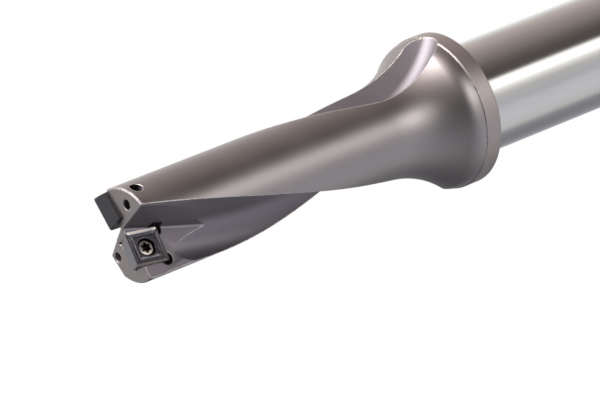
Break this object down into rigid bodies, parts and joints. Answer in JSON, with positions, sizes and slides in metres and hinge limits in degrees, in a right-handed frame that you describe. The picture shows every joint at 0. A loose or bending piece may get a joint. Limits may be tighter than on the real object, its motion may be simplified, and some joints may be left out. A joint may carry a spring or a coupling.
{
  "type": "indexable drill",
  "caption": "Short-hole metal-cutting drill with a flanged cylindrical shank, a flared neck, a twin-fluted helical body and screwed square cutting inserts at the tip.",
  "frame": {"origin": "centre of the shank's end face", "axes": "+Z along the drill's axis towards the tip, +X along the central insert's cutting edge, +Y the way that insert's rake face looks"},
  "size_m": [0.0344, 0.0344, 0.1473],
  "materials": {
    "body_steel": "satin",
    "insert_carbide": "satin",
    "screw_steel": "satin"
  },
  "bodies": {
    "root": {"drill_body": "body_steel", "central_insert": "insert_carbide", "peripheral_insert": "insert_carbide", "central_insert_screw": "screw_steel", "peripheral_insert_screw": "screw_steel"}
  },
  "joints": []
}
